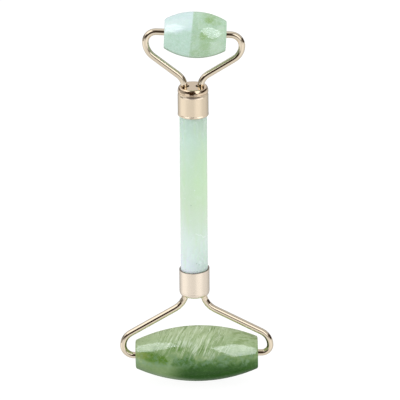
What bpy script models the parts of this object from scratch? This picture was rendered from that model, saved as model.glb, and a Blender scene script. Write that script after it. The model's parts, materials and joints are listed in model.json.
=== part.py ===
"""Jade face roller: a round stone handle with a metal ferrule on each end.
Each ferrule holds two bent wire arms, and each pair of arms carries a
barrel-shaped stone that turns freely on the arms' pins.

The origin is on the handle's axis near its middle.  +Z runs along the handle
from the large roller to the small roller, +X along the rollers, and -Y is the
front.  Lengths below are millimetres and are turned into metres on the mesh.
"""
import math
from collections import namedtuple

import bmesh
import bpy
from mathutils import Vector

for old in list(bpy.data.objects):
    bpy.data.objects.remove(old, do_unlink=True)

MM = 0.001
RIGHT_ANGLE = math.pi / 2

# ---------------------------------------------------------------- dimensions
# handle
HANDLE_R = 5.0
HANDLE_TOP = 38.7            # end faces, both hidden inside the ferrules
HANDLE_BOTTOM = -31.8
HANDLE_CHAMFER = 0.4

# ferrules: a thin tube closed by a domed cap whose spigot sits inside the tube
FERRULE_R = 5.58
FERRULE_BORE_R = 5.10
CAP_RIM = 1.6                # height of the cap outside the tube
CAP_RIM_CHAMFER = 0.05
CAP_DEPTH = 2.8              # rim and spigot together
CAP_CENTRE_R = 0.8           # disc in the middle of each face, clear of the holes
SPIGOT_R = 5.0
SPIGOT_CHAMFER = 0.15
SEAM = 0.12                  # open line between cap and tube
SHOULDER = 0.6               # the cap's shoulder is a quarter ellipse, this wide
SHOULDER_DROP = 1.9          # and this tall, cut off by the rim's lower edge
NECK_ROUND = 0.4             # rounding of the tube's edge under the cap
NECK_CURVE = 3.4             # large radius that eases it into the tube's side
NECK_LEAN = math.radians(15)         # angle where the two meet
NECK_ROUND_END = math.radians(85)    # angle where the rounding stops
MOUTH_ROUND = 0.2
MOUTH_FLARE = 0.06           # the mouth's lip stands out this far
FLARE_HEIGHT = 0.9
FLARE_MIDWAY = 0.8           # share of the flare left at half its height

# adhesive that fills the space between a cap and the handle's end
PLUG_R = 5.0
PLUG_GAP = 0.2
PLUG_CHAMFER = 0.2
PLUG_CENTRE_R = 1.05         # disc in the middle of each face, clear of the holes
PLUG_HOLE_R = 1.32

# wire arms
WIRE_R = 1.22
WIRE_CHAMFER = 0.25          # at both ends of the wire
TAIL_IN = 4.6                # how far an arm's tail runs in from the cap's face
PIN_IN = 4.4                 # how far a pin runs in from the stone's end face
SLOPE_RANGE = (15, 60)       # limits for an arm's slope above the X axis, degrees
SLOPE_HALVINGS = 60
HOLE_R = 1.58                # holes in the caps, set a little towards the middle
HOLE_SHIFT = 0.20
CUT_OVERRUN = 1.0            # how far a cutter stands out of each face

# offset: from the handle's axis to the arm's tail
# bend_start: distance from the origin, along Z, where the first bend starts
# bend_r: radius of the first bend
# outer_r, inner_r: radii of the loop up to and after its widest point
# reach: from the handle's axis to the loop's centre line at its widest point
# pin_rise: height of the pin above the roller's centre in +Z for the upper
#   arms, and in -Z for the lower arms
Arm = namedtuple("Arm", "offset bend_start bend_r outer_r inner_r reach pin_rise")
UPPER_LEFT = Arm(3.09, 43.98, 6.05, 7.15, 3.75, 16.95, 0.58)
UPPER_RIGHT = Arm(2.70, 43.84, 5.80, 5.95, 4.15, 17.65, 0.58)
LOWER_LEFT = Arm(3.11, 35.97, 8.40, 5.70, 4.15, 26.63, 0.42)
LOWER_RIGHT = Arm(3.24, 36.55, 8.00, 6.15, 3.15, 28.00, 0.16)

# mouth: Z of the open end on the handle; end: Z of the closed end
# handle_end: Z of the handle's end face inside; arms: left, right
Ferrule = namedtuple("Ferrule", "mouth end handle_end arms")
UPPER = Ferrule(33.5, 44.4, HANDLE_TOP, (UPPER_LEFT, UPPER_RIGHT))
LOWER = Ferrule(-27.0, -37.3, HANDLE_BOTTOM, (LOWER_LEFT, LOWER_RIGHT))

# centre_x, centre_z: the roller's middle
# tilt: angle by which the axis climbs towards +X
# radius: greatest radius; side_r: radius of the barrel's curved side
# apex: distance from the middle to the widest point, towards +X
# edge_r: rounding of the end corners; side_steps: segments from apex to corner
Roller = namedtuple("Roller", "centre_x centre_z tilt length radius side_r apex edge_r side_steps")
SMALL = Roller(0.90, 63.85, math.radians(-2.9), 22.2, 8.33, 22.0, 0.12, 0.7, 6)
LARGE = Roller(0.66, -61.51, math.radians(0.65), 45.5, 10.41, 56.0, 0.78, 0.9, 7)

# plastic liners in the ends of the stones' bores, loose round the pins
BUSH_R = 2.40
BUSH_BORE_R = 1.90
BUSH_LENGTH = 5.0
BUSH_SINK = 0.15             # below the stone's end face
BUSH_MOUTH_CHAMFER = 0.12    # bore edge at the outer face
BUSH_FRONT_CHAMFER = 0.1     # rim of the outer face
BUSH_BACK_CHAMFER = 0.15     # rim of the inner face
STONE_BORE_R = 2.48
STONE_BORE_CHAMFER = 0.2

# segments round each kind of piece
SIDES_STONE = 40
SIDES_METAL = 40
SIDES_BUSH = 20
SIDES_WIRE = 16
SIDES_HOLE = 20

SHARP_ANGLE = math.radians(32)       # steeper edges are shaded sharp


# ----------------------------------------------------------------- materials
def material(name, colour, roughness, metallic=0.0):
    mat = bpy.data.materials.new(name)
    mat.use_nodes = True
    bsdf = mat.node_tree.nodes["Principled BSDF"]
    bsdf.inputs["Base Color"].default_value = (*colour, 1.0)
    bsdf.inputs["Roughness"].default_value = roughness
    bsdf.inputs["Metallic"].default_value = metallic
    mat.diffuse_color = (*colour, 1.0)
    return mat


JADE_PALE = material("pale_jade", colour=(0.62, 0.80, 0.70), roughness=0.22)
JADE_MINT = material("mint_jade", colour=(0.56, 0.77, 0.64), roughness=0.16)
JADE_SAGE = material("sage_jade", colour=(0.26, 0.42, 0.18), roughness=0.14)
GOLD = material("champagne_gold", colour=(0.86, 0.68, 0.50), roughness=0.16, metallic=1.0)
NYLON = material("dark_nylon", colour=(0.05, 0.045, 0.04), roughness=0.45)
EPOXY = material("cured_adhesive", colour=(0.80, 0.76, 0.62), roughness=0.35)


# ------------------------------------------------------------------- helpers
def finish(name, bm, mat, parent=None):
    """Clean up the mesh, shade it and put it in the scene as one object."""
    bmesh.ops.remove_doubles(bm, verts=bm.verts, dist=1e-7)
    bmesh.ops.recalc_face_normals(bm, faces=bm.faces)
    mesh = bpy.data.meshes.new(name)
    bm.to_mesh(mesh)
    bm.free()
    mesh.materials.append(mat)
    mesh.shade_smooth()
    mesh.set_sharp_from_angle(angle=SHARP_ANGLE)
    ob = bpy.data.objects.new(name, mesh)
    bpy.context.scene.collection.objects.link(ob)
    ob.parent = parent
    return ob


def turned(profile, sides, along="Z", closed=False):
    """Spin a profile of (radius, height) points once round an axis.

    An open profile's two ends become flat faces; a closed one is a ring.
    """
    bm = bmesh.new()
    if along == "Z":
        points = [Vector((radius, 0.0, height)) for radius, height in profile]
        axis = Vector((0, 0, 1))
    else:
        points = [Vector((height, 0.0, radius)) for radius, height in profile]
        axis = Vector((1, 0, 0))
    verts = [bm.verts.new(point * MM) for point in points]
    edges = [bm.edges.new(pair) for pair in zip(verts, verts[1:])]
    if closed:
        edges.append(bm.edges.new((verts[-1], verts[0])))
    bmesh.ops.spin(bm, geom=verts + edges, cent=(0, 0, 0), axis=axis,
                   angle=math.tau, steps=sides, use_merge=True)
    bmesh.ops.remove_doubles(bm, verts=bm.verts, dist=1e-7)
    open_edges = [edge for edge in bm.edges if edge.is_boundary]
    if open_edges:
        bmesh.ops.holes_fill(bm, edges=open_edges, sides=0)
    return bm


def arc(x, y, radius, start, stop, steps):
    """Points on an arc round (x, y), both ends included, angles in radians."""
    angles = [start + (stop - start) * i / steps for i in range(steps + 1)]
    return [(x + radius * math.cos(angle), y + radius * math.sin(angle)) for angle in angles]


def wire(path):
    """A round wire with chamfered ends along (x, z) points in the XZ plane."""
    points = [Vector((x, 0.0, z)) for x, z in path]
    befores = points[:1] + points[:-1]
    afters = points[1:] + points[-1:]
    tangents = [(after - before).normalized() for before, after in zip(befores, afters)]
    tip_r = WIRE_R - WIRE_CHAMFER
    start, end = points[0], points[-1]
    points[0] = start + tangents[0] * WIRE_CHAMFER
    points[-1] = end - tangents[-1] * WIRE_CHAMFER
    rings = [(start, tangents[0], tip_r)]
    rings += [(point, tangent, WIRE_R) for point, tangent in zip(points, tangents)]
    rings.append((end, tangents[-1], tip_r))

    bm = bmesh.new()
    across = Vector((0, 1, 0))
    angles = [k * math.tau / SIDES_WIRE for k in range(SIDES_WIRE)]
    loops = []
    for centre, tangent, radius in rings:
        normal = tangent.cross(across)
        spokes = [across * math.cos(angle) + normal * math.sin(angle) for angle in angles]
        loops.append([bm.verts.new((centre + spoke * radius) * MM) for spoke in spokes])
    for near, far in zip(loops, loops[1:]):
        for k in range(SIDES_WIRE):
            j = (k + 1) % SIDES_WIRE
            bm.faces.new((near[k], near[j], far[j], far[k]))
    bm.faces.new(loops[0])
    bm.faces.new(list(reversed(loops[-1])))
    return bm


def drill_arm_holes(ob, offsets, radius, faces):
    """Cut a left and a right hole along Z through an object's two end faces."""
    z_low = min(faces) - CUT_OVERRUN
    z_high = max(faces) + CUT_OVERRUN
    for side, sign, offset in zip(("left", "right"), (-1, 1), offsets):
        bm = bmesh.new()
        bmesh.ops.create_cone(bm, cap_ends=True, cap_tris=False, segments=SIDES_HOLE,
                              radius1=radius * MM, radius2=radius * MM,
                              depth=(z_high - z_low) * MM)
        bmesh.ops.translate(bm, verts=bm.verts,
                            vec=(sign * offset * MM, 0.0, (z_low + z_high) / 2 * MM))
        cutter = finish(f"cut_{ob.name}_{side}", bm, GOLD)
        cutter.hide_render = True
        cutter.display_type = "WIRE"
        mod = ob.modifiers.new(f"hole_{side}", "BOOLEAN")
        mod.operation = "DIFFERENCE"
        mod.solver = "EXACT"
        mod.object = cutter


def outward(ferrule):
    """+1 for the ferrule that points to +Z, -1 for the other."""
    return math.copysign(1, ferrule.end)


# --------------------------------------------------------- handle and ferrules
def handle():
    edge_r = HANDLE_R - HANDLE_CHAMFER
    profile = [(0.0, HANDLE_TOP), (edge_r, HANDLE_TOP),
               (HANDLE_R, HANDLE_TOP - HANDLE_CHAMFER),
               (HANDLE_R, HANDLE_BOTTOM + HANDLE_CHAMFER),
               (edge_r, HANDLE_BOTTOM), (0.0, HANDLE_BOTTOM)]
    finish("handle", turned(profile, SIDES_METAL), JADE_PALE)


def sleeve(name, ferrule):
    """Ferrule tube: flared lip at its mouth, rounded neck under the cap."""
    up = outward(ferrule)
    length = abs(ferrule.end - ferrule.mouth) - CAP_RIM - SEAM
    round_height = NECK_ROUND * (math.sin(NECK_ROUND_END) - math.sin(NECK_LEAN))
    curve_start = length - round_height - NECK_CURVE * math.sin(NECK_LEAN)

    # heights run from the mouth towards the closed end
    outline = [(FERRULE_BORE_R, 0.0)]
    outline += arc(FERRULE_R + MOUTH_FLARE - MOUTH_ROUND, MOUTH_ROUND, MOUTH_ROUND,
                   -RIGHT_ANGLE, 0, 3)
    outline += [(FERRULE_R + MOUTH_FLARE * FLARE_MIDWAY, FLARE_HEIGHT / 2),
                (FERRULE_R, FLARE_HEIGHT)]
    outline += arc(FERRULE_R - NECK_CURVE, curve_start, NECK_CURVE, 0, NECK_LEAN, 3)
    meet_r, meet_height = outline[-1]
    outline += arc(meet_r - NECK_ROUND * math.cos(NECK_LEAN),
                   meet_height - NECK_ROUND * math.sin(NECK_LEAN),
                   NECK_ROUND, NECK_LEAN, NECK_ROUND_END, 4)[1:]
    outline.append((FERRULE_BORE_R, outline[-1][1]))
    profile = [(radius, ferrule.mouth + up * height) for radius, height in outline]
    finish(name, turned(profile, SIDES_METAL, closed=True), GOLD)


def cap(name, ferrule):
    """Closed end of a ferrule: domed rim, spigot and two arm holes."""
    up = outward(ferrule)
    shoulder_steps = 7
    rim_angle = math.asin(1 - CAP_RIM / SHOULDER_DROP)   # where the rim cuts the ellipse
    rim_r = FERRULE_R - SHOULDER + SHOULDER * math.cos(rim_angle)

    # depths run from the closed end towards the mouth
    outline = [(CAP_CENTRE_R, 0.0)]
    for i in range(shoulder_steps):
        angle = RIGHT_ANGLE + (rim_angle - RIGHT_ANGLE) * i / shoulder_steps
        outline.append((FERRULE_R - SHOULDER + SHOULDER * math.cos(angle),
                        SHOULDER_DROP * (1 - math.sin(angle))))
    outline += [(rim_r, CAP_RIM - CAP_RIM_CHAMFER), (rim_r - CAP_RIM_CHAMFER, CAP_RIM),
                (SPIGOT_R, CAP_RIM), (SPIGOT_R, CAP_DEPTH - SPIGOT_CHAMFER),
                (SPIGOT_R - SPIGOT_CHAMFER, CAP_DEPTH), (CAP_CENTRE_R, CAP_DEPTH)]
    profile = [(radius, ferrule.end - up * depth) for radius, depth in outline]
    ob = finish(name, turned(profile, SIDES_METAL), GOLD)
    drill_arm_holes(ob, [arm.offset - HOLE_SHIFT for arm in ferrule.arms], HOLE_R,
                    (ferrule.end - up * CAP_DEPTH, ferrule.end))


def plug(name, ferrule):
    """Cured adhesive round the arms' tails, between a cap and the handle."""
    up = outward(ferrule)
    inner = ferrule.handle_end + up * PLUG_GAP
    outer = ferrule.end - up * (CAP_DEPTH + PLUG_GAP)
    edge_r = PLUG_R - PLUG_CHAMFER
    profile = [(PLUG_CENTRE_R, outer), (edge_r, outer), (PLUG_R, outer - up * PLUG_CHAMFER),
               (PLUG_R, inner + up * PLUG_CHAMFER), (edge_r, inner), (PLUG_CENTRE_R, inner)]
    ob = finish(name, turned(profile, SIDES_METAL), EPOXY)
    drill_arm_holes(ob, [arm.offset for arm in ferrule.arms], PLUG_HOLE_R, (inner, outer))


# ------------------------------------------------------------------ wire arms
# An arm is worked out as if it were on the +X side and rose along +Z, and is
# then mirrored into place.  It is a tail, a first bend, a straight part, a loop
# of two arcs that meet at the widest point, and a pin pointing back inwards.
def loop_centre(arm, slope, pin_point, pin_tilt):
    """Centre of the loop's outer arc that puts the pin on its line.

    The pin's line passes through pin_point and climbs by pin_tilt towards +X.
    """
    along = Vector((math.cos(slope), math.sin(slope)))
    normal = Vector((-math.sin(slope), math.cos(slope)))
    pin_normal = Vector((-math.sin(pin_tilt), math.cos(pin_tilt)))
    bend_end = Vector((arm.offset + arm.bend_r, arm.bend_start)) + arm.bend_r * normal
    # the loop as it would lie with no straight part, then slid along the slope
    centre = bend_end + arm.outer_r * normal
    pin_start = centre + Vector((arm.outer_r - arm.inner_r, 0.0)) + arm.inner_r * pin_normal
    run = (pin_point - pin_start).dot(pin_normal) / along.dot(pin_normal)
    return centre + run * along


def arm_path(arm, roller, face, side, up):
    """Centre line of one arm, from its tail in the ferrule to its pin's end."""
    pin_tilt = roller.tilt * side * up
    pin_point = Vector((side * roller.centre_x, up * roller.centre_z + arm.pin_rise))
    low, high = map(math.radians, SLOPE_RANGE)
    for _ in range(SLOPE_HALVINGS):          # a steeper arm reaches less far
        slope = (low + high) / 2
        if loop_centre(arm, slope, pin_point, pin_tilt).x + arm.outer_r > arm.reach:
            low = slope
        else:
            high = slope
    slope = (low + high) / 2
    x, z = loop_centre(arm, slope, pin_point, pin_tilt)

    path = [(arm.offset, abs(face) - TAIL_IN)]
    path += arc(arm.offset + arm.bend_r, arm.bend_start, arm.bend_r,
                math.pi, RIGHT_ANGLE + slope, 5)
    path += arc(x, z, arm.outer_r, slope - RIGHT_ANGLE, 0, 5)
    path += arc(x + arm.outer_r - arm.inner_r, z, arm.inner_r,
                0, RIGHT_ANGLE + pin_tilt, 8)[1:]
    pin_end = roller.length / 2 - PIN_IN     # from the roller's middle
    path.append((pin_point.x + pin_end * math.cos(pin_tilt),
                 pin_point.y + pin_end * math.sin(pin_tilt)))
    return [(side * x, up * z) for x, z in path]


def fork(prefix, ferrule, roller):
    """The left and right arms that hold one roller."""
    for name, side, arm in zip(("left", "right"), (-1, 1), ferrule.arms):
        path = arm_path(arm, roller, ferrule.end, side, outward(ferrule))
        finish(f"{prefix}_{name}_arm", wire(path), GOLD)


# -------------------------------------------------------------------- rollers
def barrel_half(roller, sign):
    """Outline of a barrel from its apex to the bore at its -X or +X end."""
    span = roller.length / 2 - sign * roller.apex
    side_centre = roller.radius - roller.side_r
    edge_start = span - roller.edge_r
    edge_path_r = roller.side_r - roller.edge_r
    edge_centre = side_centre + math.sqrt(edge_path_r ** 2 - edge_start ** 2)
    lean = math.asin(edge_start / edge_path_r)   # where side and corner meet
    outline = arc(side_centre, 0.0, roller.side_r, 0, lean, roller.side_steps)
    outline += arc(edge_centre, edge_start, roller.edge_r, lean, RIGHT_ANGLE, 3)[1:]
    outline += [(STONE_BORE_R + STONE_BORE_CHAMFER, span),
                (STONE_BORE_R, span - STONE_BORE_CHAMFER)]
    return [(radius, roller.apex + sign * height) for radius, height in outline]


def stone(name, roller, jade, axis):
    """Bored barrel: side arc, round corners, flat ends."""
    profile = barrel_half(roller, -1)[:0:-1] + barrel_half(roller, 1)
    finish(name, turned(profile, SIDES_STONE, along="X", closed=True), jade, axis)


def bush(name, roller, sign, axis):
    face = roller.length / 2 - BUSH_SINK
    back = face - BUSH_LENGTH
    outline = [(BUSH_BORE_R + BUSH_MOUTH_CHAMFER, face), (BUSH_R - BUSH_FRONT_CHAMFER, face),
               (BUSH_R, face - BUSH_FRONT_CHAMFER), (BUSH_R, back + BUSH_BACK_CHAMFER),
               (BUSH_R - BUSH_BACK_CHAMFER, back), (BUSH_BORE_R, back),
               (BUSH_BORE_R, face - BUSH_MOUTH_CHAMFER)]
    profile = [(radius, sign * height) for radius, height in outline]
    finish(name, turned(profile, SIDES_BUSH, along="X", closed=True), NYLON, axis)


def roller_set(prefix, roller, jade):
    """A stone and its two bushes, parented to an empty on the roller's axis."""
    axis = bpy.data.objects.new(f"{prefix}_axis", None)
    axis.location = (roller.centre_x * MM, 0.0, roller.centre_z * MM)
    axis.rotation_euler = (0.0, -roller.tilt, 0.0)
    bpy.context.scene.collection.objects.link(axis)
    stone(f"{prefix}_stone", roller, jade, axis)
    bush(f"{prefix}_left_bush", roller, -1, axis)
    bush(f"{prefix}_right_bush", roller, 1, axis)


# ------------------------------------------------------------------- assembly
handle()
for end_name, end_ferrule in (("upper", UPPER), ("lower", LOWER)):
    sleeve(f"{end_name}_ferrule_sleeve", end_ferrule)
    cap(f"{end_name}_ferrule_cap", end_ferrule)
    plug(f"{end_name}_adhesive_plug", end_ferrule)
fork("small_fork", UPPER, SMALL)
fork("large_fork", LOWER, LARGE)
roller_set("small_roller", SMALL, JADE_MINT)
roller_set("large_roller", LARGE, JADE_SAGE)
bpy.context.view_layer.update()
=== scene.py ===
# A two-ended jade roller, upright along +Z and seen from the front, -Y, with +X to the right.
# A jade handle carries a metal ferrule at each end. Two bent wires leave each ferrule and hold
# a jade barrel between them: the small one above, the large one below. Each barrel turns about
# its own axis, which lies in the XZ plane.
# Sizes are in millimetres; meshes are made in metres.
import json
import math
from functools import reduce
from operator import mul

import bmesh
import bpy
import numpy as np
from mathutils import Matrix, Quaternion, Vector


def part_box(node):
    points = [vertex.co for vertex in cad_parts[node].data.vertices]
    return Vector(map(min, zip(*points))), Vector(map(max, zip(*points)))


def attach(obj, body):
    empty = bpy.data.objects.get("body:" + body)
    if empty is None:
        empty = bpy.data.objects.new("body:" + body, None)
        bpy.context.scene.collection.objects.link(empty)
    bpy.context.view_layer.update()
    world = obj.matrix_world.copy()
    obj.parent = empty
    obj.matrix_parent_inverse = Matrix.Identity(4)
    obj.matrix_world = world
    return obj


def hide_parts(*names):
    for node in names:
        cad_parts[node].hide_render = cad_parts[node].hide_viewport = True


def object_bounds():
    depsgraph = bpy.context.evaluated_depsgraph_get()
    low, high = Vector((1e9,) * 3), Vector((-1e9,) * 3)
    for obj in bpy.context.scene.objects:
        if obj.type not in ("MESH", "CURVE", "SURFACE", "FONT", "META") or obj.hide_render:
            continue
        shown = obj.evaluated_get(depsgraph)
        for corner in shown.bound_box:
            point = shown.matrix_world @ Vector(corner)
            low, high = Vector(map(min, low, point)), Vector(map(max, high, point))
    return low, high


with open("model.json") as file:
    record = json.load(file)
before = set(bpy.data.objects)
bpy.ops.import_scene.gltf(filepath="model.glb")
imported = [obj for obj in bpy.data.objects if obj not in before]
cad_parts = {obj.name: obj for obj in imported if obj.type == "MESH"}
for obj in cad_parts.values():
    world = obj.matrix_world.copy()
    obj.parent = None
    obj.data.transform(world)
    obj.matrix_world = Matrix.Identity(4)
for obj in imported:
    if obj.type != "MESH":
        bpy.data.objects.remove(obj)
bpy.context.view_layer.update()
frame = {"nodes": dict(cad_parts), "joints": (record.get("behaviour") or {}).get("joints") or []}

MM = 0.001
TAU = math.tau
NODES = frame["nodes"]
JOINTS = {joint["child"]: joint for joint in frame["joints"]}

# ---- main sizes
TUBE_BORE = 5.10          # inner radius of a ferrule tube
FERRULE_R = 5.58          # outer radius of the tubes and caps
WIRE_R = 1.22
LOWER_SKIRT = 1.6         # height of the lower cap's side
UPPER_SKIRT = 2.0         # the upper cap's rim hangs a little lower
SHOULDER = 0.82           # how far a cap's rounded shoulder reaches inwards
MOUTH_TILT = 0.045        # slope of the lower tube's mouth, rise per mm of x
# the upper tube's dark line is painted shade and dark reflection in the crease under the collar
PAINTED_CRESCENT_Z = 41.75           # height of the dark line on the upper tube

# ---- view
VIEW_ELEVATION = math.radians(22.0)
VIEW_COS, VIEW_SIN = 0.927, 0.375    # the same angle, rounded, as the stones' patterns use it


# =====================================================================
# shader nodes: every call adds to the tree given last to build_in
# =====================================================================
class Field:
    """A shader socket with arithmetic; each operation makes one Math node."""

    def __init__(self, socket):
        self.socket = socket

    def __add__(self, other):
        return calc("ADD", self, other)

    def __sub__(self, other):
        if isinstance(other, Field):
            return calc("SUBTRACT", self, other)
        return calc("ADD", self, -other)

    def __rsub__(self, other):
        return calc("SUBTRACT", other, self)

    def __mul__(self, other):
        return calc("MULTIPLY", self, other)

    def __rmul__(self, other):
        return calc("MULTIPLY", other, self)

    def __truediv__(self, other):
        return calc("DIVIDE", self, other)

    def __abs__(self):
        return calc("ABSOLUTE", self)


def build_in(node_tree):
    global tree
    tree = node_tree


def set_inputs(target, values):
    """Set or link the inputs of a node, keyed by name or index."""
    for key, value in values.items():
        if isinstance(value, Field):
            tree.links.new(value.socket, target.inputs[key])
        else:
            target.inputs[key].default_value = value


def add_node(kind, inputs=None, **settings):
    made = tree.nodes.new("ShaderNode" + kind)
    for name, value in settings.items():
        setattr(made, name, value)
    set_inputs(made, inputs or {})
    return made


def node(kind, inputs=None, output=0, **settings):
    """Like add_node, but gives one output as a Field."""
    return Field(add_node(kind, inputs, **settings).outputs[output])


def calc(operation, *values):
    return node("Math", dict(enumerate(values)), operation=operation)


def mul_add(value, factor, offset):
    return calc("MULTIPLY_ADD", value, factor, offset)


def either(first, second):
    return calc("MAXIMUM", first, second)


def lerp(amount, start, end):
    return mul_add(amount, end - start, start)


def sway(base, texture, amount):
    """base pushed up and down by a texture centred on 0.5."""
    return mul_add(texture - 0.5, amount, base)


def vector_calc(operation, first, second):
    output = "Value" if operation == "DOT_PRODUCT" else 0
    return node("VectorMath", {0: first, 1: second}, output, operation=operation)


def vector(x, y, z):
    return node("CombineXYZ", {0: x, 1: y, 2: z})


def step(value, start, end, to=(0.0, 1.0)):
    """Smooth step between the values in to, from start to end (start may exceed end)."""
    if start > end:
        start, end, to = end, start, to[::-1]
    return node("MapRange", {"Value": value, "From Min": start, "From Max": end,
                             "To Min": to[0], "To Max": to[1]},
                interpolation_type="SMOOTHSTEP", clamp=True)


def noise(place, scale, detail=2.0, rough=0.5, distort=0.0):
    """Noise of 0 to 1; scale is per unit of place."""
    return node("TexNoise", {"Vector": place, "Scale": scale, "Detail": detail,
                             "Roughness": rough, "Distortion": distort}, "Fac")


def cells(place, scale):
    return node("TexVoronoi", {"Vector": place, "Scale": scale}, "Distance")


def ramp(value, stops):
    made = add_node("ValToRGB")
    elements = made.color_ramp.elements
    while len(elements) < len(stops):
        elements.new(0.5)
    for element, (position, colour) in zip(elements, stops):
        element.position = position
        element.color = (*colour[:3], 1.0)
    set_inputs(made, {0: value})
    return Field(made.outputs[0])


def placed(stops, start, span):
    """Stops placed on a scale of their own, brought to 0 to 1."""
    return [((place - start) / span, colour) for place, colour in stops]


def mix(amount, first, second):
    return node("Mix", {0: amount, 6: first, 7: second}, 2, data_type="RGBA", clamp_factor=True)


def bump(height, strength, distance):
    return node("Bump", {"Strength": strength, "Distance": distance, "Height": height})


def rgb(red, green, blue):
    """8-bit display colour to linear."""
    def linear(channel):
        channel /= 255.0
        return channel / 12.92 if channel <= 0.04045 else ((channel + 0.055) / 1.055) ** 2.4
    return (linear(red), linear(green), linear(blue), 1.0)


def grey(value):
    return (value, value, value)


def new_material(name):
    material = bpy.data.materials.new(name)
    material.use_nodes = True
    build_in(material.node_tree)
    return material, material.node_tree.nodes["Principled BSDF"]


def local_mm(origin=(0, 0, 0), x_axis=(1, 0, 0), z_axis=(0, 0, 1)):
    """Object coordinates in millimetres along the given axes: x, y, z and all three."""
    offset = vector_calc("SUBTRACT", node("TexCoord", output="Object"), tuple(origin))
    x, y, z = (vector_calc("DOT_PRODUCT", offset, tuple(part / MM for part in axis))
               for axis in (x_axis, (0, 1, 0), z_axis))
    return x, y, z, vector(x, y, z)


def roller_mm(origin, axis):
    """Millimetres in a roller's frame, with x along its axis.

    rise is the height as the camera sees it, depth the distance behind the axis.
    """
    x, y, z, point = local_mm(origin, (axis[0], 0, axis[2]), (-axis[2], 0, axis[0]))
    rise = z * VIEW_COS + y * VIEW_SIN
    depth = z * -VIEW_SIN + y * VIEW_COS
    return (x, y, z), point, rise, depth


def blob(across, rise, centre, radii, soft=0.45):
    """Soft-edged ellipse in the plane the camera faces."""
    side = (across - centre[0]) / radii[0]
    tall = (rise - centre[1]) / radii[1]
    distance = calc("SQRT", side * side + tall * tall)
    return step(distance, 1.0 + soft, 1.0 - soft)


def paint(colour, patches):
    """Lay blobs over a colour: the two fields, centre, radii, softness, strength, tint."""
    for across, rise, centre, radii, soft, strength, tint in patches:
        colour = mix(blob(across, rise, centre, radii, soft) * strength, colour, rgb(*tint))
    return colour


# =====================================================================
# materials
# =====================================================================
def finish_jade(bsdf, colour, point, depth_weight, depth_mm, rough, shine):
    """Polish, translucency and fine unevenness shared by the three stones."""
    smear = noise(point, 0.35, detail=3, rough=0.55)
    fine = noise(point, 5.0, rough=0.6)
    slant = node("LayerWeight", {"Blend": 0.5}, "Facing")
    # reflections fade both square to the eye and at grazing angles
    damp = step(slant, 0.48, 0.24, to=(0.14, 1.0)) * step(slant, 0.94, 0.70)
    height = mul_add(noise(point, 0.8, detail=3), 1.0, noise(point, 9.0) * 0.06)
    set_inputs(bsdf, {
        "Base Color": colour,
        "Roughness": mul_add(fine, 0.02, mul_add(smear, 0.05, rough - 0.02)),
        "IOR": 1.5,
        "Specular IOR Level": shine * damp,
        "Subsurface Weight": depth_weight,
        "Subsurface Radius": (1.0, 1.25, 1.0),
        "Subsurface Scale": depth_mm * MM,
        "Normal": bump(height, strength=0.25, distance=0.00006)})


def pale_jade():
    """Handle stone."""
    material, bsdf = new_material("pale_jade")
    x, y, z, point = local_mm()
    cloud = noise(point, 0.20, detail=4, rough=0.55, distort=0.6)
    # height in mm, colour on the left, colour on the right; the darker top row is painted shade
    # next to the upper ferrule
    shades = [
        (-24, (222, 232, 238), (195, 213, 206)), (-19, (221, 234, 232), (208, 226, 218)),
        (-15, (219, 234, 228), (214, 230, 222)), (-11, (215, 230, 220), (209, 228, 211)),
        (-7, (210, 227, 211), (207, 226, 205)), (0, (205, 224, 201), (203, 226, 196)),
        (9, (202, 225, 201), (200, 226, 193)), (17, (202, 225, 206), (199, 224, 195)),
        (25, (201, 225, 213), (194, 219, 199)), (33, (191, 214, 203), (182, 202, 186))]
    low, span = -28.0, 62.0        # heights at which the colour ramps start, and their length
    along = (sway(z, cloud, 7.0) - low) / span
    left, right = (ramp(along, placed([(row[0], rgb(*row[side])) for row in shades], low, span))
                   for side in (1, 2))
    colour = mix(step(x + cloud * 3.0, -2.6, 5.6), left, right)
    # thin bluish veils, stronger near both ends
    wisp = noise(vector(x, y, z * 0.45), 0.55, detail=4, rough=0.62, distort=1.2)
    ends = step(abs(z - 5.0), 12.0, 26.0, to=(0.18, 0.55))
    colour = mix(step(wisp, 0.50, 0.74) * ends, colour, rgb(228, 241, 240))
    # a few warmer streaks along the rod
    warm = step(noise(vector(x * 0.9, y, z * 0.20), 0.50, detail=3), 0.50, 0.70)
    colour = mix(warm * 0.28, colour, rgb(202, 226, 186))
    # healed crack across the right front, low down
    crack = abs(z + mul_add(x, 0.62, mul_add(noise(point, 0.7), 2.2, 9.6)))
    crack = step(crack, 0.34, 0.06) * (step(x, 0.2, 1.2) * step(x, 4.6, 3.6))
    colour = mix(crack * 0.55, colour, rgb(240, 247, 247))
    # pale and dark grain
    grain = noise(point, 2.2, detail=4, rough=0.7)
    colour = mix(step(grain, 0.55, 0.70) * 0.30, colour, rgb(226, 240, 232))
    colour = mix(step(grain, 0.44, 0.30) * 0.22, colour, rgb(180, 209, 188))
    # round specks, pale where pick is high and dark where it is low
    dots = step(cells(point, 0.42), 0.13, 0.06)
    pick = noise(point, 0.30, detail=1)
    colour = mix(dots * step(pick, 0.52, 0.58) * 0.55, colour, rgb(236, 246, 246))
    colour = mix(dots * step(pick, 0.46, 0.40) * 0.45, colour, rgb(134, 170, 150))
    finish_jade(bsdf, colour, point, depth_weight=0.60, depth_mm=2.0, rough=0.22, shine=0.30)
    return material


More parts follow.
